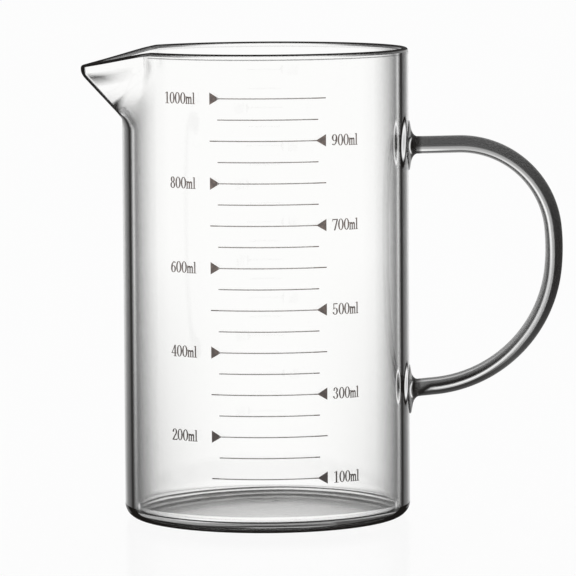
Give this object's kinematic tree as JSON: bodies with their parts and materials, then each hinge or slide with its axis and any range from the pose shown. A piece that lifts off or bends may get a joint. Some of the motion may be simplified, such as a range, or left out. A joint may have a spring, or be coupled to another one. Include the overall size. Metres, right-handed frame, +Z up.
{
  "type": "measuring jug",
  "caption": "Straight-sided clear glass measuring jug with a pulled pouring spout, a C-shaped rod handle and a printed millilitre scale.",
  "frame": {"origin": "centre of the foot ring, on the table", "axes": "+Z up along the body's axis, +X towards the handle, -X towards the spout, -Y out of the printed scale"},
  "size_m": [0.167, 0.0995, 0.1631],
  "materials": {
    "glass": "clear blown borosilicate glass, fire polished",
    "handle_glass": "clear solid glass rod, fire polished",
    "enamel": "fired ceramic enamel, satin, dark grey-brown"
  },
  "bodies": {
    "root": {"vessel": "glass", "handle_rod": "handle_glass", "upper_handle_foot": "handle_glass", "lower_handle_foot": "handle_glass", "scale_mark_100_ml": "enamel", "scale_mark_150_ml": "enamel", "scale_mark_200_ml": "enamel", "scale_mark_250_ml": "enamel", "scale_mark_300_ml": "enamel", "scale_mark_350_ml": "enamel", "scale_mark_400_ml": "enamel", "scale_mark_450_ml": "enamel", "scale_mark_500_ml": "enamel", "scale_mark_550_ml": "enamel", "scale_mark_600_ml": "enamel", "scale_mark_650_ml": "enamel", "scale_mark_700_ml": "enamel", "scale_mark_750_ml": "enamel", "scale_mark_800_ml": "enamel", "scale_mark_850_ml": "enamel", "scale_mark_900_ml": "enamel", "scale_mark_950_ml": "enamel", "scale_mark_1000_ml": "enamel"}
  },
  "joints": []
}
